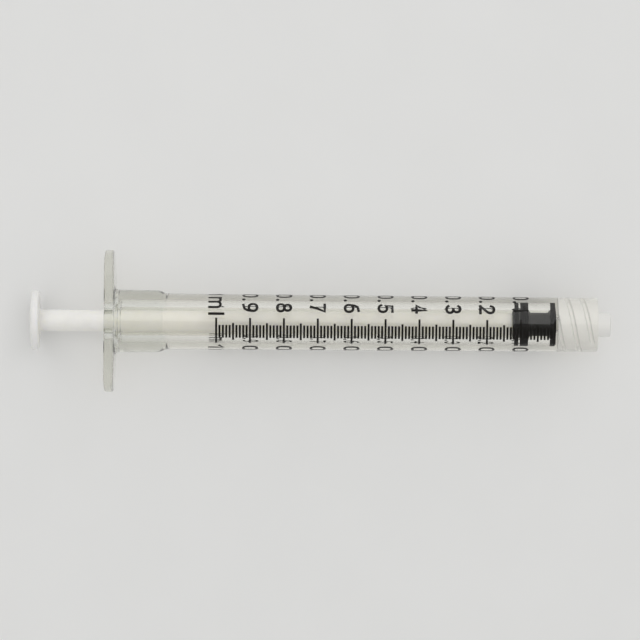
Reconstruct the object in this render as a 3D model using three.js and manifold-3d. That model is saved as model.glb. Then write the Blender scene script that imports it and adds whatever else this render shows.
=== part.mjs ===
// A 1 mL luer-lock syringe in three pieces: barrel, plunger rod and rubber stopper.
// Millimetres, +Z up. It lies on one flat side of its finger flange, with its axis along X
// and the tip at +X. Its origin is under the middle of its length, on the plane that it rests on.
// Stations are places along the axis, counted from the zero line of the scale, positive towards the tip.
import * as THREE from 'three';
import { mergeVertices } from 'three/addons/utils/BufferGeometryUtils.js';
import Module from 'manifold-3d';

// Bore and travel
const BORE_DIAMETER = 4.78;
const SCALE_LENGTH = 55.73; // travel that displaces 1 mL in the bore
const OVERTRAVEL = 8.62; // travel past the 1 mL line, up to the retaining ring
const STOP_GAP = 0.3; // what is left between stopper and ring at full travel
const RING_HEIGHT = 0.16; // how far the retaining ring stands into the bore
const RING_WIDTH = 0.6;
const MOUTH_DEPTH = 2.1; // from the rear face of the flange to the ring
const MOUTH_STEP = 0.63; // how much wider the mouth is than the bore, in radius
const MOUTH_CHAMFER = 0.12;

// Outside of the barrel; the walls are counted from the bore
const SLEEVE_REAR_WALL = 2.78;
const SLEEVE_FRONT_WALL = 2.7;
const SLEEVE_LENGTH = 7.45;
const SLEEVE_TAPER_LENGTH = 1;
const TUBE_REAR_WALL = 2.21;

// Finger flange
const FLANGE_LENGTH = 23.48;
const FLANGE_SIDE_STEP = 0.83; // how far its flat sides stand out past the sleeve
const FLANGE_ROOT_THICKNESS = 1.65;
const FLANGE_EDGE_THICKNESS = 1.5;
const FLANGE_ROUNDING = 0.4;
const SLEEVE_FILLET = 0.8;

// Luer-lock tip
const END_WALL = 0.6; // from the zero line to the floor of the collar
const COLLAR_DEPTH = 6.58;
const COLLAR_ROUNDING_LENGTH = 0.75;
const COLLAR_WALL = 0.47; // outside the thread
const COLLAR_RIM_WIDTH = 0.1; // what the rounding leaves flat
const LUER_ROOT_DIAMETER = 6; // where the cone that carries the luer leaves the floor
const LUER_ROOT_LENGTH = 1.1;
const THREAD_MAJOR_DIAMETER = 8;
const THREAD_MINOR_DIAMETER = 7.04;
const THREAD_LEAD = 5;
const THREAD_STARTS = 2;
const THREAD_ROOT_WIDTH = 1.1;
const THREAD_CREST_WIDTH = 0.35;
const THREAD_EMBEDDING = 0.12; // how far the thread's root reaches into the collar wall
const THREAD_RIM_MARGIN = 0.75; // from the middle of the thread's end to the collar's rim
const THREAD_START_ANGLE = THREE.MathUtils.degToRad(50); // where the first start leaves the floor, from +Y
const LUER_PROJECTION = 2.16; // past the collar's rim
const LUER_TIP_DIAMETER = 3.93;
const LUER_TAPER = 0.06; // growth of the diameter per length
const LUER_ROUNDING = 0.3;
const LUMEN_DIAMETER = 1.7;

// Stopper
const STOPPER_LENGTH = 6.85; // from its rear face to the front edge of its front rib
const REAR_RIB_LENGTH = 2.63;
const REAR_RIB_GROOVE_DEPTH = 0.12;
const REAR_RIB_GROOVE_WIDTH = 0.3;
const REAR_RIB_GROOVE_PLACE = 1.06; // from the rear face
const FRONT_RIB_LENGTH = 0.78;
const RIB_SLOPE = 0.12;
const WAIST_DEPTH = 0.435; // below the ribs
const NOSE_LENGTH = 0.22;
const NOSE_DIAMETER = 1.9;
const SEAL_CLEARANCE = 0.03; // radial, between the ribs and the bore
const END_CLEARANCE = 0.08; // along the axis, between the stopper and the bore's end

// Plunger rod
const ROD_CLEARANCE = 0.445; // radial, inside the retaining ring
const EXPOSED_ROD = 10.8; // between flange and thumb disc with the plunger home
const DISC_DIAMETER = 9.86;
const DISC_THICKNESS = 1.65;
const DISC_DOME = 0.3;
const DISC_REAR_ROUNDING = 0.6;
const DISC_FRONT_ROUNDING = 0.45;
const DISC_FILLET = 0.45;
const ROD_CHAMFER = 0.25;
const NECK_LENGTH = 1.5;
const HEAD_STEP = 0.3; // how far the head stands out past the neck
const HEAD_CYLINDER_LENGTH = 1.1;
const HEAD_CONE_LENGTH = 1;
const HEAD_TIP_DIAMETER = 1.3;
const SOCKET_WALL = 0.425; // rubber between the head's socket and the stopper's waist
const SOCKET_CLEARANCE = 0.05; // all round the neck and head, in the stopper

// Fineness of the solids
const TURN_SEGMENTS = 36;
const CURVE_SEGMENTS = 3;
const OVERSHOOT = 1; // how far a cutting solid passes the face that it cuts

// Stations and radii that follow from the sizes above
const travel = SCALE_LENGTH + OVERTRAVEL;
const boreRadius = BORE_DIAMETER / 2;
const ringRadius = boreRadius - RING_HEIGHT;
const ribRadius = boreRadius - SEAL_CLEARANCE;
const waistRadius = ribRadius - WAIST_DEPTH;
const headRadius = waistRadius - SOCKET_WALL - SOCKET_CLEARANCE;
const neckRadius = headRadius - HEAD_STEP;
const rodRadius = ringRadius - ROD_CLEARANCE;
const ringFront = -STOPPER_LENGTH - travel - STOP_GAP;
const ringRear = ringFront - RING_WIDTH;
const flangeRear = ringRear - MOUTH_DEPTH;
const flangeFront = flangeRear + FLANGE_ROOT_THICKNESS;
const sleeveRadius = boreRadius + SLEEVE_REAR_WALL;
const sleeveFront = flangeFront + SLEEVE_LENGTH;
const collarFloor = END_WALL;
const collarRim = collarFloor + COLLAR_DEPTH;
const luerEnd = collarRim + LUER_PROJECTION;
const discFront = flangeRear - EXPOSED_ROD;
const discRear = discFront - DISC_THICKNESS;
const axisHeight = sleeveRadius + FLANGE_SIDE_STEP;
const middleStation = (discRear + luerEnd) / 2;

const wasm = await Module();
wasm.setup();

function luerRadius(station) {
  return LUER_TIP_DIAMETER / 2 + LUER_TAPER / 2 * (luerEnd - station);
}

// Turns a path in (station, radius) about the X axis. The path starts and ends on the axis.
function revolve(path) {
  const points = path.getPoints(CURVE_SEGMENTS);
  const outline = points.map((point) => new THREE.Vector2(Math.max(point.y, 0), point.x));
  return new THREE.LatheGeometry(outline, TURN_SEGMENTS).rotateZ(-Math.PI / 2);
}

// A closed manifold solid of a geometry, without the empty triangles that a lathe leaves on its axis.
function solidOf(geometry) {
  const bare = geometry.clone();
  bare.deleteAttribute('normal');
  bare.deleteAttribute('uv');
  const merged = mergeVertices(bare);
  const corners = merged.index.array;
  const kept = [];
  for (let i = 0; i < corners.length; i += 3) {
    const [a, b, c] = corners.slice(i, i + 3);
    if (a !== b && b !== c && c !== a) kept.push(a, b, c);
  }
  const mesh = new wasm.Mesh({
    numProp: 3,
    vertProperties: new Float32Array(merged.attributes.position.array),
    triVerts: new Uint32Array(kept),
  });
  return new wasm.Manifold(mesh);
}

function geometryOf(solid) {
  const mesh = solid.getMesh();
  const geometry = new THREE.BufferGeometry();
  geometry.setAttribute('position', new THREE.BufferAttribute(mesh.vertProperties, mesh.numProp));
  geometry.setIndex(new THREE.BufferAttribute(mesh.triVerts, 1));
  return geometry;
}

// Outside of the barrel from the middle of the flange to the luer's end, with the collar's recess.
function barrelOutside() {
  const fillet = Math.min(SLEEVE_FILLET, FLANGE_SIDE_STEP);
  const start = (flangeRear + flangeFront) / 2;
  const threadRadius = THREAD_MAJOR_DIAMETER / 2;
  const rimRadius = threadRadius + COLLAR_RIM_WIDTH;
  const collarRadius = threadRadius + COLLAR_WALL;
  const rootFront = collarFloor + LUER_ROOT_LENGTH;
  const path = new THREE.Path();
  path.moveTo(start, 0);
  path.lineTo(start, sleeveRadius + fillet);
  path.lineTo(flangeFront, sleeveRadius + fillet);
  path.quadraticCurveTo(flangeFront, sleeveRadius, flangeFront + fillet, sleeveRadius);
  path.lineTo(sleeveFront, boreRadius + SLEEVE_FRONT_WALL);
  path.lineTo(sleeveFront + SLEEVE_TAPER_LENGTH, boreRadius + TUBE_REAR_WALL);
  path.lineTo(collarRim - COLLAR_ROUNDING_LENGTH, collarRadius);
  path.quadraticCurveTo(collarRim, collarRadius, collarRim, rimRadius);
  path.lineTo(collarRim, threadRadius);
  path.lineTo(collarFloor, threadRadius);
  path.lineTo(collarFloor, LUER_ROOT_DIAMETER / 2);
  path.lineTo(rootFront, luerRadius(rootFront));
  path.lineTo(luerEnd - LUER_ROUNDING, luerRadius(luerEnd - LUER_ROUNDING));
  path.quadraticCurveTo(luerEnd, luerRadius(luerEnd), luerEnd, luerRadius(luerEnd) - LUER_ROUNDING);
  path.lineTo(luerEnd, 0);
  return revolve(path);
}

// The space inside: wide mouth, retaining ring, bore, sloping end and lumen.
function barrelInside() {
  const ringSlope = RING_WIDTH / 3;
  const mouthRadius = boreRadius + MOUTH_STEP;
  const endFront = NOSE_LENGTH + END_CLEARANCE;
  const path = new THREE.Path();
  path.moveTo(flangeRear - OVERSHOOT, 0);
  path.lineTo(flangeRear - OVERSHOOT, mouthRadius + MOUTH_CHAMFER + OVERSHOOT);
  path.lineTo(flangeRear + MOUTH_CHAMFER, mouthRadius);
  path.lineTo(ringRear, mouthRadius);
  path.lineTo(ringRear, ringRadius);
  path.lineTo(ringFront - ringSlope, ringRadius);
  path.lineTo(ringFront, boreRadius);
  path.lineTo(END_CLEARANCE, boreRadius);
  path.lineTo(endFront, NOSE_DIAMETER / 2);
  path.lineTo(endFront, LUMEN_DIAMETER / 2);
  path.lineTo(luerEnd + OVERSHOOT, LUMEN_DIAMETER / 2);
  path.lineTo(luerEnd + OVERSHOOT, 0);
  return revolve(path);
}

// The flange seen along the axis: a round plate with two flat sides.
function flangeOutline() {
  const reach = FLANGE_LENGTH / 2;
  const corner = Math.asin(Math.min(1, axisHeight / reach));
  const outline = new THREE.Shape();
  outline.absarc(0, 0, reach, -corner, corner, false);
  outline.absarc(0, 0, reach, Math.PI - corner, Math.PI + corner, false);
  const depth = FLANGE_ROOT_THICKNESS + 2 * OVERSHOOT;
  const curveSegments = TURN_SEGMENTS / 6;
  const plate = new THREE.ExtrudeGeometry(outline, { depth, bevelEnabled: false, curveSegments });
  plate.rotateX(Math.PI / 2);
  plate.rotateZ(Math.PI / 2);
  plate.translate(flangeRear - OVERSHOOT, 0, 0);
  return plate;
}

// The flange seen from above: flat behind, thinner towards its rounded ends.
function flangeSide() {
  const reach = FLANGE_LENGTH / 2;
  const inner = reach - FLANGE_ROUNDING;
  const edgeFront = flangeRear + FLANGE_EDGE_THICKNESS;
  const root = Math.min(sleeveRadius + SLEEVE_FILLET, inner);
  const outline = new THREE.Shape();
  outline.moveTo(flangeRear, -inner);
  outline.quadraticCurveTo(flangeRear, -reach, flangeRear + FLANGE_ROUNDING, -reach);
  outline.lineTo(edgeFront - FLANGE_ROUNDING, -reach);
  outline.quadraticCurveTo(edgeFront, -reach, edgeFront, -inner);
  outline.lineTo(flangeFront, -root);
  outline.lineTo(flangeFront, root);
  outline.lineTo(edgeFront, inner);
  outline.quadraticCurveTo(edgeFront, reach, edgeFront - FLANGE_ROUNDING, reach);
  outline.lineTo(flangeRear + FLANGE_ROUNDING, reach);
  outline.quadraticCurveTo(flangeRear, reach, flangeRear, inner);
  const depth = 2 * (axisHeight + OVERSHOOT);
  const curveSegments = CURVE_SEGMENTS;
  const slab = new THREE.ExtrudeGeometry(outline, { depth, bevelEnabled: false, curveSegments });
  return slab.translate(0, 0, -depth / 2);
}

// One start of the inner thread: a straight ridge in (station, radius), wound about the axis
// from under the collar's floor towards its rim. Both ends run out into the wall.
function threadStart(startAngle) {
  const firstStation = collarFloor - THREAD_ROOT_WIDTH / 2;
  const turns = (collarRim - THREAD_RIM_MARGIN - firstStation) / THREAD_LEAD;
  const sweep = 2 * Math.PI * turns;
  const crest = THREAD_MINOR_DIAMETER / 2;
  const root = THREAD_MAJOR_DIAMETER / 2 + THREAD_EMBEDDING;
  const runOut = Math.PI / 6;
  const ridge = new THREE.Shape();
  ridge.moveTo(-THREAD_CREST_WIDTH / 2, crest);
  ridge.lineTo(THREAD_CREST_WIDTH / 2, crest);
  ridge.lineTo(THREAD_ROOT_WIDTH / 2, root);
  ridge.lineTo(-THREAD_ROOT_WIDTH / 2, root);
  const steps = Math.ceil(turns * TURN_SEGMENTS);
  const geometry = new THREE.ExtrudeGeometry(ridge, { depth: sweep, steps, bevelEnabled: false });
  const place = geometry.attributes.position;
  for (let i = 0; i < place.count; i += 1) {
    const along = place.getZ(i);
    const rise = Math.min(1, along / runOut, (sweep - along) / runOut);
    const radius = root - (root - place.getY(i)) * Math.max(rise, THREAD_EMBEDDING / (root - crest) / 2);
    const station = firstStation + place.getX(i) + THREAD_LEAD * along / (2 * Math.PI);
    const angle = startAngle + along;
    place.setXYZ(i, station, radius * Math.cos(angle), radius * Math.sin(angle));
  }
  return geometry;
}

function barrelGeometry() {
  const flange = solidOf(flangeOutline()).intersect(solidOf(flangeSide()));
  let barrel = solidOf(barrelOutside()).add(flange).subtract(solidOf(barrelInside()));
  for (let start = 0; start < THREAD_STARTS; start += 1) {
    barrel = barrel.add(solidOf(threadStart(THREAD_START_ANGLE + 2 * Math.PI * start / THREAD_STARTS)));
  }
  return geometryOf(barrel);
}

// Snap head and neck in (station, radius), grown by a clearance, from the rod's shoulder forwards.
function headOutline(path, clearance) {
  const shoulder = -STOPPER_LENGTH;
  const headRear = shoulder + NECK_LENGTH - clearance;
  const coneRear = shoulder + NECK_LENGTH + HEAD_CYLINDER_LENGTH;
  const headFront = coneRear + HEAD_CONE_LENGTH + clearance;
  path.lineTo(headRear, neckRadius + clearance);
  path.lineTo(headRear, headRadius + clearance);
  path.lineTo(coneRear, headRadius + clearance);
  path.lineTo(headFront, HEAD_TIP_DIAMETER / 2 + clearance);
  path.lineTo(headFront, 0);
}

function rodGeometry() {
  const discRadius = DISC_DIAMETER / 2;
  const domeRadius = discRadius - DISC_REAR_ROUNDING;
  const domeFront = discRear + DISC_DOME;
  const shoulder = -STOPPER_LENGTH - SOCKET_CLEARANCE;
  const path = new THREE.Path();
  path.moveTo(discRear, 0);
  path.quadraticCurveTo(discRear, domeRadius / 2, domeFront, domeRadius);
  path.quadraticCurveTo(domeFront, discRadius, domeFront + DISC_REAR_ROUNDING, discRadius);
  path.lineTo(discFront - DISC_FRONT_ROUNDING, discRadius);
  path.quadraticCurveTo(discFront, discRadius, discFront, discRadius - DISC_FRONT_ROUNDING);
  path.lineTo(discFront, rodRadius + DISC_FILLET);
  path.quadraticCurveTo(discFront, rodRadius, discFront + DISC_FILLET, rodRadius);
  path.lineTo(shoulder - ROD_CHAMFER, rodRadius);
  path.lineTo(shoulder, rodRadius - ROD_CHAMFER);
  path.lineTo(shoulder, neckRadius);
  headOutline(path, 0);
  return geometryOf(solidOf(revolve(path)));
}

function stopperGeometry() {
  const rear = -STOPPER_LENGTH;
  const groove = rear + REAR_RIB_GROOVE_PLACE;
  const rearRibEnd = rear + REAR_RIB_LENGTH;
  const outside = new THREE.Path();
  outside.moveTo(rear, 0);
  outside.lineTo(rear, ribRadius - RIB_SLOPE);
  outside.quadraticCurveTo(rear, ribRadius, rear + RIB_SLOPE, ribRadius);
  outside.lineTo(groove - REAR_RIB_GROOVE_WIDTH / 2, ribRadius);
  outside.lineTo(groove, ribRadius - REAR_RIB_GROOVE_DEPTH);
  outside.lineTo(groove + REAR_RIB_GROOVE_WIDTH / 2, ribRadius);
  outside.lineTo(rearRibEnd - RIB_SLOPE, ribRadius);
  outside.lineTo(rearRibEnd + RIB_SLOPE, waistRadius);
  outside.lineTo(-FRONT_RIB_LENGTH - RIB_SLOPE, waistRadius);
  outside.lineTo(-FRONT_RIB_LENGTH + RIB_SLOPE, ribRadius);
  outside.lineTo(0, ribRadius);
  outside.lineTo(NOSE_LENGTH, NOSE_DIAMETER / 2);
  outside.lineTo(NOSE_LENGTH, 0);
  const socket = new THREE.Path();
  socket.moveTo(rear - OVERSHOOT, 0);
  socket.lineTo(rear - OVERSHOOT, neckRadius + SOCKET_CLEARANCE);
  headOutline(socket, SOCKET_CLEARANCE);
  return geometryOf(solidOf(revolve(outside)).subtract(solidOf(revolve(socket))));
}

function part(name, geometry, look) {
  geometry.translate(-middleStation, 0, axisHeight);
  const mesh = new THREE.Mesh(geometry, new THREE.MeshStandardMaterial(look));
  mesh.name = name;
  return mesh;
}

const clearPlastic = { color: 0xd6d8cf, roughness: 0.12, metalness: 0, transparent: true, opacity: 0.45 };
const whitePlastic = { color: 0xeeede9, roughness: 0.35, metalness: 0 };
const darkRubber = { color: 0x2c2b2b, roughness: 0.7, metalness: 0 };

const syringe = new THREE.Group();
syringe.add(part('barrel', barrelGeometry(), clearPlastic));
syringe.add(part('plunger_rod', rodGeometry(), whitePlastic));
syringe.add(part('stopper', stopperGeometry(), darkRubber));

export default syringe;
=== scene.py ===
"""Looks of a 1 mL luer-lock syringe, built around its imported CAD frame.

Blender works in metres on the CAD frame's axes: X along the syringe with the tip at +X, Z up and the
floor at Z = 0. Sizes in this file are millimetres unless they say otherwise. A station is a place along
the axis, counted from the zero line of the scale, positive towards the tip. An angle is counted about
the axis from +Y towards +Z, in radians. A corner of an outline is (station, radius, rounding).
"""
import math

import bpy
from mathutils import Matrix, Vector


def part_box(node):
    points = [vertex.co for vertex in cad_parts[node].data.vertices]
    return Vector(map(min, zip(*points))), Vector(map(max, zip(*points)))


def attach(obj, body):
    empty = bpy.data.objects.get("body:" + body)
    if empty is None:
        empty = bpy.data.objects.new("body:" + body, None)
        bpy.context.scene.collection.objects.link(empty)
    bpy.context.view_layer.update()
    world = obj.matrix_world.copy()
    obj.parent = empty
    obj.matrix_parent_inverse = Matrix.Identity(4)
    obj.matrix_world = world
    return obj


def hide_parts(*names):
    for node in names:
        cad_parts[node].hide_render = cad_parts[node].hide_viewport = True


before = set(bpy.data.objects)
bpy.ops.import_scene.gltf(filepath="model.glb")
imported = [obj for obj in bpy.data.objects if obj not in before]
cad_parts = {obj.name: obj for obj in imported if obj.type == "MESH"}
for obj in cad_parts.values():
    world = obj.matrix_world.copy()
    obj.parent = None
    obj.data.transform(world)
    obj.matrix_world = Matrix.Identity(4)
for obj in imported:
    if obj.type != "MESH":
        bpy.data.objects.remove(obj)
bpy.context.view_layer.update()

MM = 0.001
TURN = 2 * math.pi

# Places and sizes that the frame gives
barrel_low, barrel_high = (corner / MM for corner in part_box("barrel"))
rod_low, rod_high = (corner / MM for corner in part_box("plunger_rod"))
stopper_low, stopper_high = (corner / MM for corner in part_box("stopper"))
AXIS_HEIGHT = (rod_low.z + rod_high.z) / 2
FLANGE_REACH = barrel_high.y
FLAT_REACH = barrel_high.z - AXIS_HEIGHT
DISC_RADIUS = rod_high.y
RIB_RADIUS = stopper_high.y

# Stopper
NOSE_LENGTH = 0.22
NOSE_RADIUS = 0.95
ZERO_LINE = stopper_high.x - NOSE_LENGTH  # X of station 0
STOPPER_REAR = stopper_low.x - ZERO_LINE
RIB_CONTACT = 0.045  # how far the soft ribs press past the CAD ribs, into the bore's wall
END_CONTACT = 0.095  # how far the soft front presses past the CAD front, into the bore's end
GROOVE_PLACE = 1.06
GROOVE_WIDTH = 0.3
GROOVE_DEPTH = 0.12
REAR_RIB_LENGTH = 2.63
FRONT_RIB_LENGTH = 0.78
WAIST_DEPTH = 0.435
RIB_SLOPE = 0.24
SOCKET_CLEARANCE = 0.05  # round the rod's neck and head

# Barrel
BORE_RADIUS = 2.39
RING_RADIUS = 2.23
RING_FRONT = -71.5
RING_SLOPE = 0.2
MOUTH_RADIUS = 3.02
MOUTH_DEPTH = 2.1
MOUTH_CHAMFER = 0.12
BORE_END = 0.08
BORE_END_SLOPE = 0.22
LUMEN_RADIUS = 0.85
FLANGE_REAR = barrel_low.x - ZERO_LINE
FLANGE_ROOT = 1.65
FLANGE_EDGE = 1.5
FLANGE_ROUNDING = 0.4
ROUNDING_KEPT = 0.8  # share of the rounding that the fillet leaves alone
FLANGE_CORNER_POWER = 24  # the higher, the sharper where the round edge meets a flat
SLEEVE_REAR_RADIUS = 5.17
SLEEVE_FRONT_RADIUS = 5.09
SLEEVE_LENGTH = 7.45
SLEEVE_TAPER = 1.0
SLEEVE_FILLET = 0.8
TUBE_REAR_RADIUS = 4.6
COLLAR_FLOOR = 0.6
COLLAR_RIM = 7.18
COLLAR_RADIUS = 4.47
COLLAR_ROUNDING = 0.75
RECESS_RADIUS = 4.0
LUER_ROOT_RADIUS = 3.0
LUER_ROOT_LENGTH = 1.1
LUER_END = barrel_high.x - ZERO_LINE
LUER_TIP_RADIUS = 1.965
LUER_SLOPE = 0.03
LUER_ROUNDING = 0.3
MATTE_START = 0.4  # station where the matt finish starts
FACE_MARGIN = 0.01  # a face this far past a radius still counts as on it
LUMEN_MARGIN = 0.05  # how far the matt finish stays out of the lumen
THREAD_CREST = 3.52
THREAD_LEAD = 5.0
THREAD_STARTS = 2
THREAD_START = math.radians(50)
THREAD_FIRST = 0.05  # station of its middle there, under the collar's floor
THREAD_HALF_ROOT = 0.475
THREAD_HALF_CREST = 0.175
THREAD_MARGIN = 0.75
THREAD_RUN_OUT = math.pi / 6

# Plunger rod
ROD_RADIUS = 1.785
DISC_REAR = rod_low.x - ZERO_LINE
DISC_THICKNESS = 1.65
DISC_DOME = 0.3
DOME_REACH = 4.4  # radius where the dome has fallen by DISC_DOME
DOME_STEP = 0.8
DOME_RINGS = 6
SHOULDER_GAP = 0.05  # between the rod's shoulder and the stopper
NECK_RADIUS = 1.15
NECK_LENGTH = 1.5
HEAD_RADIUS = 1.45
HEAD_LENGTH = 1.1
HEAD_CONE = 1.0
HEAD_TIP_RADIUS = 0.65

# Printed scale
SCALE_LENGTH = 55.73
DIVISIONS = 100
INK_LIFT = 0.003
INK_THICKNESS = 0.012
TICK_WIDTH = 0.34
SECOND_LABELS_TURN = math.radians(143.4)  # round the barrel from the first
STROKE = 0.44
CORNER_LIMIT = 0.7  # keeps a stroke's outer corners short
CLOSING_GAP = 0.3  # on the glyph grid; a round stroke whose ends are closer than this is closed
GLYPH_HEIGHT = 2.24
GLYPH_WIDTH = 1.35
UNIT_WIDTH = 2.35  # the m of ml
DOT_RADIUS = 0.29
DOT_END = 0.12  # half width of the dot at its two ends, as a share of its radius
DOT_PLACE = 0.05
# Where each sign starts round the barrel, or the dot has its middle, in degrees
LABEL_TURNS = {"zero": -82, "dot": -54, "digit": -40.5, "one": -88, "m": -60, "l": -17}

# Fineness
BARREL_TURN = 288
LATHE_TURN = 192
ARC_STEPS = 6
LONGEST_ROUNDING = 0.45  # share of a side that one rounding may take
TICK_STEPS = 14
DOT_STEPS = 8
THREAD_RINGS = 104


def rounded(corners, closed):
    """Points of a path through (station, radius, rounding) corners, with an arc at each rounded one."""
    points = []
    count = len(corners)
    for i, (x, y, size) in enumerate(corners):
        inner = closed or 0 < i < count - 1
        if size <= 0 or not inner:
            points.append((x, y))
            continue
        here = Vector((x, y))
        back = Vector(corners[i - 1][:2]) - here
        ahead = Vector(corners[(i + 1) % count][:2]) - here
        start = here + back * min(LONGEST_ROUNDING, size / back.length)
        end = here + ahead * min(LONGEST_ROUNDING, size / ahead.length)
        for step in range(ARC_STEPS + 1):
            t = step / ARC_STEPS
            point = start * (1 - t) ** 2 + here * 2 * t * (1 - t) + end * t * t
            points.append((point.x, point.y))
    return points


def place(station, radius, angle):
    """A point of the row frame, in metres."""
    y = radius * math.cos(angle)
    z = AXIS_HEIGHT + radius * math.sin(angle)
    return (MM * (ZERO_LINE + station), MM * y, MM * z)


def new_piece(name, vertices, faces, material, body, replaced=()):
    mesh = bpy.data.meshes.new(name)
    mesh.from_pydata(vertices, [], faces)
    mesh.validate()
    mesh.shade_smooth()
    piece = bpy.data.objects.new(name, mesh)
    bpy.context.scene.collection.objects.link(piece)
    mesh.materials.append(material)
    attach(piece, body)
    if replaced:
        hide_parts(*replaced)
    return piece


def turned(profiles, closed):
    """Vertices and faces of a body turned through profiles of equal length, one for each angle.
    An open profile starts and ends on the axis; a closed one runs round a ring."""
    turns = len(profiles)
    length = len(profiles[0])
    vertices = []
    for k, profile in enumerate(profiles):
        angle = TURN * k / turns
        inner = profile if closed else profile[1:-1]
        vertices += [place(station, radius, angle) for station, radius in inner]
    count = length if closed else length - 2
    faces = []
    for k in range(turns):
        here = k * count
        ahead = (k + 1) % turns * count
        for i in range(count if closed else count - 1):
            j = (i + 1) % count
            faces.append((here + i, ahead + i, ahead + j, here + j))
    if not closed:
        for end, point in ((0, profiles[0][0]), (count - 1, profiles[0][-1])):
            pole = len(vertices)
            vertices.append(place(point[0], 0, 0))
            for k in range(turns):
                a, b = k * count + end, (k + 1) % turns * count + end
                faces.append((pole, b, a) if end == 0 else (pole, a, b))
    return vertices, faces


# ---------------------------------------------------------------- barrel

def luer_radius(station):
    return LUER_TIP_RADIUS + LUER_SLOPE * (LUER_END - station)


def flange_reach(angle):
    """Radius of the flange's outline: a round plate with two flat sides, its corners eased."""
    flat = FLAT_REACH / max(abs(math.sin(angle)), 1e-6)
    power = FLANGE_CORNER_POWER
    return (flat ** -power + FLANGE_REACH ** -power) ** (-1 / power)


def flange_thickness(radius, angle):
    """The flange thins from its root towards its two rounded ends."""
    root = SLEEVE_REAR_RADIUS + SLEEVE_FILLET
    end = FLANGE_REACH - FLANGE_ROUNDING
    share = (radius * abs(math.cos(angle)) - root) / (end - root)
    return FLANGE_ROOT + (FLANGE_EDGE - FLANGE_ROOT) * min(1, max(0, share))


def smooth_step(value):
    value = min(1, max(0, value))
    return value * value * (3 - 2 * value)


def thread_height(station, angle):
    """How far the double-start thread stands into the recess at a place on its wall."""
    sweep = TURN * (COLLAR_RIM - THREAD_MARGIN - THREAD_FIRST) / THREAD_LEAD
    height = 0
    for start in range(THREAD_STARTS):
        first = (angle - THREAD_START - TURN * start / THREAD_STARTS) % TURN
        for along in (first, first + TURN):
            if along > sweep:
                continue
            offset = abs(station - THREAD_FIRST - THREAD_LEAD * along / TURN)
            flank = (THREAD_HALF_ROOT - offset) / (THREAD_HALF_ROOT - THREAD_HALF_CREST)
            rise = smooth_step(min(along, sweep - along) / THREAD_RUN_OUT)
            height = max(height, (RECESS_RADIUS - THREAD_CREST) * smooth_step(flank) * rise)
    return height


def barrel_profile(angle):
    reach = flange_reach(angle)
    edge = FLANGE_REAR + flange_thickness(reach, angle)
    rounding = min(FLANGE_ROUNDING, reach - SLEEVE_REAR_RADIUS)
    fillet = min(SLEEVE_FILLET, reach - rounding * ROUNDING_KEPT - SLEEVE_REAR_RADIUS)
    sleeve_front = FLANGE_REAR + FLANGE_ROOT + SLEEVE_LENGTH
    root_front = COLLAR_FLOOR + LUER_ROOT_LENGTH
    ring_rear = FLANGE_REAR + MOUTH_DEPTH
    outside = [
        (FLANGE_REAR, MOUTH_RADIUS + MOUTH_CHAMFER, 0.06),
        (FLANGE_REAR, reach, rounding),
        (edge, reach, rounding),
        (FLANGE_REAR + FLANGE_ROOT, SLEEVE_REAR_RADIUS, fillet),
        (sleeve_front, SLEEVE_FRONT_RADIUS, 0.5),
        (sleeve_front + SLEEVE_TAPER, TUBE_REAR_RADIUS, 0.6),
        (COLLAR_RIM, COLLAR_RADIUS, COLLAR_ROUNDING),
        (COLLAR_RIM, RECESS_RADIUS, 0.12),
    ]
    inside = [
        (COLLAR_FLOOR, LUER_ROOT_RADIUS, 0.12),
        (root_front, luer_radius(root_front), 0.3),
        (LUER_END, LUER_TIP_RADIUS, LUER_ROUNDING),
        (LUER_END, LUMEN_RADIUS, 0.1),
        (BORE_END + BORE_END_SLOPE, LUMEN_RADIUS, 0.05),
        (BORE_END + BORE_END_SLOPE, NOSE_RADIUS, 0.05),
        (BORE_END, BORE_RADIUS, 0.06),
        (RING_FRONT, BORE_RADIUS, 0.15),
        (RING_FRONT - RING_SLOPE, RING_RADIUS, 0.15),
        (ring_rear, RING_RADIUS, 0.08),
        (ring_rear, MOUTH_RADIUS, 0.06),
        (FLANGE_REAR + MOUTH_CHAMFER, MOUTH_RADIUS, 0.06),
    ]
    wall = []
    depth = COLLAR_RIM - COLLAR_FLOOR
    for ring in range(1, THREAD_RINGS):
        station = COLLAR_RIM - depth * ring / THREAD_RINGS
        wall.append((station, RECESS_RADIUS - thread_height(station, angle), 0))
    wall.append((COLLAR_FLOOR, RECESS_RADIUS - thread_height(COLLAR_FLOOR, angle), 0))
    return rounded(outside + wall + inside, closed=True)


def build_barrel(outside, recess, thick):
    profiles = [barrel_profile(TURN * k / BARREL_TURN) for k in range(BARREL_TURN)]
    vertices, faces = turned(profiles, closed=True)
    piece = new_piece("clear_barrel", vertices, faces, outside, "barrel", ["barrel"])
    piece.data.materials.append(recess)
    piece.data.materials.append(thick)
    sleeve_front = FLANGE_REAR + FLANGE_ROOT + SLEEVE_LENGTH
    for face in piece.data.polygons:
        station = face.center.x / MM - ZERO_LINE
        radius = math.hypot(face.center.y / MM, face.center.z / MM - AXIS_HEIGHT)
        in_bore = radius < BORE_RADIUS + FACE_MARGIN and RING_FRONT < station < BORE_END
        in_recess = LUMEN_RADIUS + LUMEN_MARGIN < radius < RECESS_RADIUS + FACE_MARGIN
        if in_recess and station > MATTE_START:
            face.material_index = 1
        elif station < sleeve_front + SLEEVE_TAPER / 2 and not in_bore:
            face.material_index = 2


# ---------------------------------------------------------------- plunger rod and stopper

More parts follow.
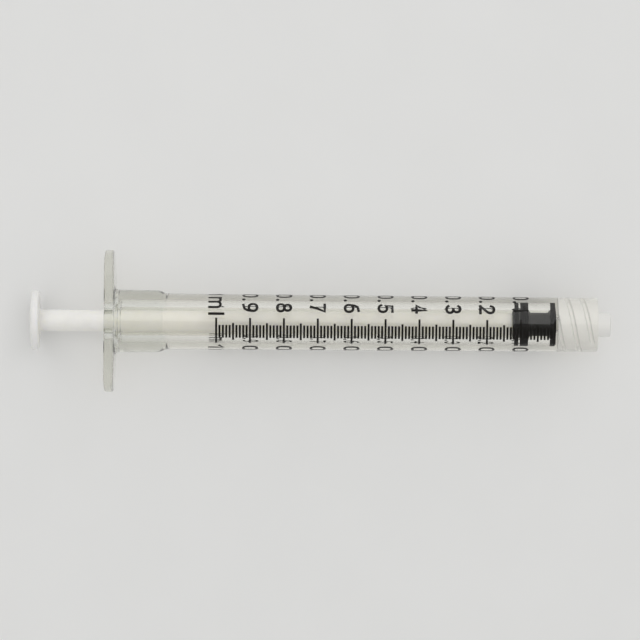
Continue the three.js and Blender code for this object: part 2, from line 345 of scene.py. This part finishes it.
def rod_profile():
    front = DISC_REAR + DISC_THICKNESS
    shoulder = STOPPER_REAR - SHOULDER_GAP
    head_rear = STOPPER_REAR + NECK_LENGTH
    cone_rear = head_rear + HEAD_LENGTH
    radii = [DOME_STEP * ring for ring in range(DOME_RINGS)]
    dome = [(DISC_REAR + DISC_DOME * (radius / DOME_REACH) ** 2, radius, 0) for radius in radii]
    corners = dome + [
        (DISC_REAR + DISC_DOME + 0.1, DISC_RADIUS, 0.7),
        (front, DISC_RADIUS, 0.5),
        (front, ROD_RADIUS, 0.5),
        (shoulder, ROD_RADIUS, 0.25),
        (shoulder, NECK_RADIUS, 0),
        (head_rear, NECK_RADIUS, 0.1),
        (head_rear, HEAD_RADIUS, 0.1),
        (cone_rear, HEAD_RADIUS, 0.2),
        (cone_rear + HEAD_CONE, HEAD_TIP_RADIUS, 0.15),
        (cone_rear + HEAD_CONE, 0, 0),
    ]
    return rounded(corners, closed=False)


def stopper_profile():
    rib = RIB_RADIUS + RIB_CONTACT
    waist = RIB_RADIUS - WAIST_DEPTH
    groove = STOPPER_REAR + GROOVE_PLACE
    rear_rib_end = STOPPER_REAR + REAR_RIB_LENGTH
    socket = SOCKET_CLEARANCE
    head_rear = STOPPER_REAR + NECK_LENGTH - socket
    cone_rear = STOPPER_REAR + NECK_LENGTH + HEAD_LENGTH
    head_front = cone_rear + HEAD_CONE + socket
    corners = [
        (head_front, 0, 0),
        (head_front, HEAD_TIP_RADIUS + socket, 0.1),
        (cone_rear, HEAD_RADIUS + socket, 0.1),
        (head_rear, HEAD_RADIUS + socket, 0.08),
        (head_rear, NECK_RADIUS + socket, 0.08),
        (STOPPER_REAR, NECK_RADIUS + socket, 0.05),
        (STOPPER_REAR, rib - 0.02, 0.2),
        (groove - GROOVE_WIDTH / 2, rib, 0.05),
        (groove, rib - GROOVE_DEPTH, 0.05),
        (groove + GROOVE_WIDTH / 2, rib, 0.05),
        (rear_rib_end, rib, 0.2),
        (rear_rib_end + RIB_SLOPE, waist, 0.2),
        (-FRONT_RIB_LENGTH - RIB_SLOPE, waist, 0.2),
        (-FRONT_RIB_LENGTH, rib, 0.15),
        (END_CONTACT, rib, 0.04),
        (END_CONTACT + NOSE_LENGTH, NOSE_RADIUS, 0.08),
        (END_CONTACT + NOSE_LENGTH, 0, 0),
    ]
    return rounded(corners, closed=False)


def build_lathe(name, profile, material, body):
    """A round piece that stands for the CAD node of the same name as its body."""
    vertices, faces = turned([profile] * LATHE_TURN, closed=False)
    new_piece(name, vertices, faces, material, body, [body])


# ---------------------------------------------------------------- printed scale

def tube_radius(station):
    """Outside radius of the plain barrel, which narrows evenly to the collar."""
    rear = FLANGE_REAR + FLANGE_ROOT + SLEEVE_LENGTH + SLEEVE_TAPER
    front = COLLAR_RIM
    share = (station - rear) / (front - rear)
    return TUBE_REAR_RADIUS + (COLLAR_RADIUS - TUBE_REAR_RADIUS) * share


def add_plate(vertices, faces, rows):
    """A thin closed plate on the barrel. Each row is a pair of (station, turn) edge points; a turn is
    counted from the line that faces up, towards -Y, in radians."""
    base = len(vertices)
    for pair in rows:
        for lift in (INK_LIFT, INK_LIFT + INK_THICKNESS):
            for station, turn in pair:
                vertices.append(place(station, tube_radius(station) + lift, math.pi / 2 + turn))
    for i in range(len(rows) - 1):
        a, b = base + 4 * i, base + 4 * (i + 1)
        faces.append((a, b, b + 1, a + 1))
        faces.append((a + 2, a + 3, b + 3, b + 2))
        faces.append((a, a + 2, b + 2, b))
        faces.append((a + 1, b + 1, b + 3, a + 3))
    last = base + 4 * (len(rows) - 1)
    faces.append((base, base + 1, base + 3, base + 2))
    faces.append((last, last + 2, last + 3, last + 1))


def add_stroke(vertices, faces, line, closed=False):
    """A stroke of constant width along a line of (station, arc length) points, with square ends."""
    count = len(line)
    half = STROKE / 2
    points = [Vector(point) for point in line]
    if not closed:
        points[0] += (points[0] - points[1]).normalized() * half
        points[-1] += (points[-1] - points[-2]).normalized() * half
    rows = []
    steps = range(count + 1) if closed else range(count)
    for i in steps:
        here = points[i % count]
        back = points[(i - 1) % count] if closed or i > 0 else here
        ahead = points[(i + 1) % count] if closed or i < count - 1 else here
        along = ((ahead - here).normalized() + (here - back).normalized()).normalized()
        turn_share = max(abs(along.dot((ahead - back).normalized())), CORNER_LIMIT)
        side = Vector((-along.y, along.x)) * half / turn_share
        radius = tube_radius(here.x)
        left, right = here + side, here - side
        rows.append(((left.x, left.y / radius), (right.x, right.y / radius)))
    add_plate(vertices, faces, rows)


def arc(centre, size, first, last, steps=14, power=2.3):
    """Points on a squarish oval, from one angle to another in degrees."""
    points = []
    for i in range(steps + 1):
        angle = math.radians(first + (last - first) * i / steps)
        c, s = math.cos(angle), math.sin(angle)
        x = math.copysign(abs(c) ** (2 / power), c)
        y = math.copysign(abs(s) ** (2 / power), s)
        points.append((centre[0] + size[0] * x, centre[1] + size[1] * y))
    return points


# Each glyph is a list of strokes on a grid 1 wide and 1 high, measured between the middles of its strokes
GLYPHS = {
    "0": [arc((0.5, 0.5), (0.5, 0.5), 0, 350, 26, 3)],
    "1": [[(0.15, 0.74), (0.6, 1), (0.6, 0.5), (0.6, 0)]],
    "2": [arc((0.5, 0.72), (0.48, 0.28), 170, -35, 12) + [(0.04, 0.0)], [(0, 0), (0.5, 0), (1, 0)]],
    "3": [arc((0.47, 0.75), (0.45, 0.25), 155, -90, 12), arc((0.5, 0.25), (0.5, 0.25), 90, -155, 12)],
    "4": [[(0.72, 0), (0.72, 0.5), (0.72, 1), (0, 0.28), (0.5, 0.28), (1.0, 0.28)]],
    "5": [[(0.92, 1), (0.14, 1), (0.08, 0.5)] + arc((0.47, 0.3), (0.5, 0.3), 125, -155, 14)],
    "6": [arc((0.5, 0.3), (0.5, 0.3), 0, 350, 22), [(0.02, 0.36), (0.08, 0.66), (0.3, 0.92), (0.85, 1)]],
    "7": [[(0, 1), (0.5, 1), (1, 1), (0.62, 0.5), (0.35, 0)]],
    "8": [arc((0.5, 0.76), (0.42, 0.24), 0, 350, 20), arc((0.5, 0.26), (0.5, 0.26), 0, 350, 20)],
    "9": [arc((0.5, 0.7), (0.5, 0.3), 0, 350, 22), [(0.98, 0.64), (0.92, 0.34), (0.7, 0.08), (0.15, 0)]],
    "m": [[(0, 0), (0, 0.4), (0, 0.8)], arc((0.24, 0.52), (0.24, 0.28), 180, 0, 8) + [(0.48, 0)],
          arc((0.72, 0.52), (0.24, 0.28), 180, 0, 8) + [(0.96, 0)]],
    "l": [[(0, 0), (0, 0.5), (0, 1)]],
}
ROUND_GLYPHS = "0689"


def add_glyph(vertices, faces, glyph, station, turn, width, height):
    """Draws a glyph with its lower left corner at a station and turn. It reads towards -Y."""
    radius = tube_radius(station)
    for stroke in GLYPHS[glyph]:
        line = [(station + y * height, turn * radius + x * width) for x, y in stroke]
        gap = Vector(stroke[0]) - Vector(stroke[-1])
        add_stroke(vertices, faces, line, closed=gap.length < CLOSING_GAP and glyph in ROUND_GLYPHS)


# First and last turn of each kind of tick, in degrees
TICKS = {"major": (-8.4, 48.7), "medium": (2.1, 39.9), "minor": (6.3, 34.6)}


def add_ticks(vertices, faces, turn_offset):
    for i in range(DIVISIONS + 1):
        kind = "major" if i % 10 == 0 else "medium" if i % 5 == 0 else "minor"
        first, last = (math.radians(a) + turn_offset for a in TICKS[kind])
        station = -SCALE_LENGTH * i / DIVISIONS
        rows = []
        for step in range(TICK_STEPS + 1):
            turn = first + (last - first) * step / TICK_STEPS
            rows.append(((station + TICK_WIDTH / 2, turn), (station - TICK_WIDTH / 2, turn)))
        add_plate(vertices, faces, rows)


def add_dot(vertices, faces, station, turn):
    radius = tube_radius(station)
    rows = []
    for step in range(DOT_STEPS + 1):
        angle = math.pi * step / DOT_STEPS
        along = DOT_RADIUS * math.cos(angle)
        across = DOT_RADIUS * max(math.sin(angle), DOT_END)
        rows.append(((station + across, turn - along / radius), (station - across, turn - along / radius)))
    add_plate(vertices, faces, rows)


def add_labels(vertices, faces, turn_offset):
    turns = {sign: math.radians(degrees) + turn_offset for sign, degrees in LABEL_TURNS.items()}

    def draw(glyph, station, turn, width=GLYPH_WIDTH):
        add_glyph(vertices, faces, glyph, station, turn, width, GLYPH_HEIGHT)

    for tenth in range(1, 10):
        station = -SCALE_LENGTH * tenth / 10 - GLYPH_HEIGHT / 2
        draw("0", station, turns["zero"])
        add_dot(vertices, faces, station + DOT_PLACE, turns["dot"])
        draw(str(tenth), station, turns["digit"])
    station = -SCALE_LENGTH - GLYPH_HEIGHT / 2
    draw("1", station, turns["one"])
    draw("m", station, turns["m"], UNIT_WIDTH)
    draw("l", station, turns["l"])


def build_print(name, add, turn_offset, material):
    vertices, faces = [], []
    add(vertices, faces, turn_offset)
    new_piece(name, vertices, faces, material, "barrel")


# ---------------------------------------------------------------- materials

CLEAR_TINT = (0.95, 0.942, 0.895, 1)
THICK_TINT = (0.86, 0.868, 0.82, 1)  # flange and sleeve
MATTE_TINT = (0.885, 0.88, 0.862, 1)
LIGHT_TINT = (0.97, 0.965, 0.95, 1)
PLASTIC_IOR = 1.49


def new_material(name):
    material = bpy.data.materials.new(name)
    material.use_nodes = True
    nodes = material.node_tree.nodes
    return material, nodes, material.node_tree.links, nodes["Principled BSDF"]


def add_noise(nodes, links, scale, detail=3):
    """Noise in object space; scale is repeats per metre."""
    coordinates = nodes.new("ShaderNodeTexCoord")
    noise = nodes.new("ShaderNodeTexNoise")
    noise.inputs["Scale"].default_value = scale
    noise.inputs["Detail"].default_value = detail
    links.new(coordinates.outputs["Object"], noise.inputs["Vector"])
    return noise


def add_bump(nodes, links, source, shader, strength, distance):
    """Small unevenness; distance is its height in metres."""
    bump = nodes.new("ShaderNodeBump")
    bump.inputs["Strength"].default_value = strength
    bump.inputs["Distance"].default_value = distance
    links.new(source, bump.inputs["Height"])
    links.new(bump.outputs["Normal"], shader.inputs["Normal"])


def add_range(nodes, links, source, low, high):
    spread = nodes.new("ShaderNodeMapRange")
    spread.inputs["To Min"].default_value = low
    spread.inputs["To Max"].default_value = high
    links.new(source, spread.inputs["Value"])
    return spread.outputs["Result"]


def add_tones(nodes, links, source, first, second):
    ramp = nodes.new("ShaderNodeValToRGB")
    ramp.color_ramp.elements[0].position = 0.35
    ramp.color_ramp.elements[1].position = 0.65
    ramp.color_ramp.elements[0].color = first
    ramp.color_ramp.elements[1].color = second
    links.new(source, ramp.inputs["Fac"])
    return ramp.outputs["Color"]


def let_light_through(material, nodes, links, shader, tint):
    """Lamps and diffuse light pass straight through, so that what is inside the barrel is evenly lit."""
    veil = nodes.new("ShaderNodeBsdfTransparent")
    veil.inputs["Color"].default_value = tint
    rays = nodes.new("ShaderNodeLightPath")
    either = nodes.new("ShaderNodeMath")
    either.operation = "MAXIMUM"
    links.new(rays.outputs["Is Shadow Ray"], either.inputs[0])
    links.new(rays.outputs["Is Diffuse Ray"], either.inputs[1])
    mix = nodes.new("ShaderNodeMixShader")
    links.new(either.outputs["Value"], mix.inputs["Fac"])
    links.new(shader.outputs["BSDF"], mix.inputs[1])
    links.new(veil.outputs["BSDF"], mix.inputs[2])
    links.new(mix.outputs["Shader"], nodes["Material Output"].inputs["Surface"])


def clear_plastic(name, tint):
    material, nodes, links, shader = new_material(name)
    shader.inputs["Base Color"].default_value = tint
    shader.inputs["IOR"].default_value = PLASTIC_IOR
    shader.inputs["Transmission Weight"].default_value = 1
    noise = add_noise(nodes, links, scale=900)
    links.new(add_range(nodes, links, noise.outputs["Fac"], 0.02, 0.06), shader.inputs["Roughness"])
    add_bump(nodes, links, noise.outputs["Fac"], shader, strength=0.04, distance=0.00004)
    let_light_through(material, nodes, links, shader, LIGHT_TINT)
    return material


def matte_clear_plastic():
    """The half-clear matt finish of the collar's recess and the luer."""
    material, nodes, links, shader = new_material("matte_clear_plastic")
    shader.inputs["Base Color"].default_value = MATTE_TINT
    shader.inputs["IOR"].default_value = PLASTIC_IOR
    shader.inputs["Transmission Weight"].default_value = 0.25
    noise = add_noise(nodes, links, scale=4000, detail=4)
    links.new(add_range(nodes, links, noise.outputs["Fac"], 0.35, 0.5), shader.inputs["Roughness"])
    add_bump(nodes, links, noise.outputs["Fac"], shader, strength=0.2, distance=0.00003)
    let_light_through(material, nodes, links, shader, LIGHT_TINT)
    return material


def white_plastic():
    material, nodes, links, shader = new_material("white_plastic")
    noise = add_noise(nodes, links, scale=700)
    tones = add_tones(nodes, links, noise.outputs["Fac"], (0.84, 0.83, 0.805, 1), (0.87, 0.86, 0.835, 1))
    links.new(tones, shader.inputs["Base Color"])
    links.new(add_range(nodes, links, noise.outputs["Fac"], 0.3, 0.45), shader.inputs["Roughness"])
    shader.inputs["Subsurface Weight"].default_value = 1
    shader.inputs["Subsurface Radius"].default_value = (1, 1, 0.9)
    shader.inputs["Subsurface Scale"].default_value = 0.0022
    shader.inputs["IOR"].default_value = 1.5
    add_bump(nodes, links, noise.outputs["Fac"], shader, strength=0.06, distance=0.00005)
    return material


def dark_rubber():
    material, nodes, links, shader = new_material("dark_rubber")
    noise = add_noise(nodes, links, scale=2500, detail=5)
    tones = add_tones(nodes, links, noise.outputs["Fac"], (0.009, 0.0085, 0.008, 1), (0.014, 0.013, 0.012, 1))
    links.new(tones, shader.inputs["Base Color"])
    links.new(add_range(nodes, links, noise.outputs["Fac"], 0.5, 0.68), shader.inputs["Roughness"])
    shader.inputs["Specular IOR Level"].default_value = 0.06
    add_bump(nodes, links, noise.outputs["Fac"], shader, strength=0.25, distance=0.00005)
    return material


def printed_ink():
    material, nodes, links, shader = new_material("printed_ink")
    noise = add_noise(nodes, links, scale=6000, detail=4)
    tones = add_tones(nodes, links, noise.outputs["Fac"], (0.003, 0.002, 0.001, 1), (0.007, 0.006, 0.004, 1))
    links.new(tones, shader.inputs["Base Color"])
    links.new(add_range(nodes, links, noise.outputs["Fac"], 0.22, 0.4), shader.inputs["Roughness"])
    shader.inputs["Specular IOR Level"].default_value = 0.3
    add_bump(nodes, links, noise.outputs["Fac"], shader, strength=0.1, distance=0.00001)
    return material


# ---------------------------------------------------------------- stage

# Floor, lamps and camera are in metres, watts and radians, and the lens is in millimetres
FLOOR_REACH = 3.0
WORLD_STRENGTH = 0.28
SOFTBOX_PLACE = (0, 0.56, 0.56)
SOFTBOX_SIZE = (1.6, 1.5)
SOFTBOX_POWER = 5.4
CEILING_PLACE = (0, -0.45, 1.15)
CEILING_SIZE = (2.4, 2.4)
CEILING_POWER = 11
CAMERA_DISTANCE = 0.9
CAMERA_LENS = 306.3
CAMERA_OFFSET = 0.00043
CAMERA_ROLL = 0.0083
SENSOR_WIDTH = 36
CAMERA_CLIP = 0.01


def floor_material():
    material, nodes, links, shader = new_material("pale_floor")
    noise = add_noise(nodes, links, scale=60)
    tones = add_tones(nodes, links, noise.outputs["Fac"], (0.815, 0.815, 0.805, 1), (0.825, 0.825, 0.815, 1))
    links.new(tones, shader.inputs["Base Color"])
    shader.inputs["Roughness"].default_value = 0.75
    return material


def build_floor():
    size = FLOOR_REACH
    corners = [(-size, -size, 0), (size, -size, 0), (size, size, 0), (-size, size, 0)]
    mesh = bpy.data.meshes.new("floor")
    mesh.from_pydata(corners, [], [(0, 1, 2, 3)])
    mesh.materials.append(floor_material())
    floor = bpy.data.objects.new("floor", mesh)
    bpy.context.scene.collection.objects.link(floor)


def build_world():
    world = bpy.data.worlds.new("studio")
    bpy.context.scene.world = world
    world.use_nodes = True
    background = world.node_tree.nodes["Background"]
    background.inputs["Color"].default_value = (1, 1, 0.99, 1)
    background.inputs["Strength"].default_value = WORLD_STRENGTH


def add_lamp(name, location, size, power):
    """A rectangular lamp that shines at the origin."""
    lamp = bpy.data.lights.new(name, "AREA")
    lamp.shape = "RECTANGLE"
    lamp.size, lamp.size_y = size
    lamp.energy = power
    holder = bpy.data.objects.new(name, lamp)
    holder.location = location
    aim = -Vector(location)
    holder.rotation_euler = aim.to_track_quat("-Z", "Y").to_euler()
    bpy.context.scene.collection.objects.link(holder)
    return holder


def build_lamps():
    """A softbox on the +Y side, and a wide ceiling that brightens what is matt but is not mirrored."""
    add_lamp("softbox", SOFTBOX_PLACE, SOFTBOX_SIZE, SOFTBOX_POWER)
    ceiling = add_lamp("ceiling", CEILING_PLACE, CEILING_SIZE, CEILING_POWER)
    ceiling.visible_glossy = False
    ceiling.visible_transmission = False
    ceiling.visible_camera = False


def build_camera():
    data = bpy.data.cameras.new("camera")
    data.lens = CAMERA_LENS
    data.sensor_width = SENSOR_WIDTH
    data.clip_start = CAMERA_CLIP
    camera = bpy.data.objects.new("camera", data)
    camera.location = (0, CAMERA_OFFSET, MM * AXIS_HEIGHT + CAMERA_DISTANCE)
    camera.rotation_euler = (0, 0, CAMERA_ROLL)
    bpy.context.scene.collection.objects.link(camera)
    bpy.context.scene.camera = camera


build_camera()
ink = printed_ink()
tube = clear_plastic("clear_plastic", CLEAR_TINT)
flange = clear_plastic("thick_clear_plastic", THICK_TINT)
build_barrel(tube, matte_clear_plastic(), flange)
build_lathe("white_plunger_rod", rod_profile(), white_plastic(), "plunger_rod")
build_lathe("rubber_stopper", stopper_profile(), dark_rubber(), "stopper")
build_print("scale_lines", add_ticks, 0, ink)
build_print("scale_numbers_near", add_labels, 0, ink)
build_print("scale_numbers_far", add_labels, SECOND_LABELS_TURN, ink)
build_floor()
build_world()
build_lamps()
bpy.context.scene.view_settings.view_transform = "Standard"
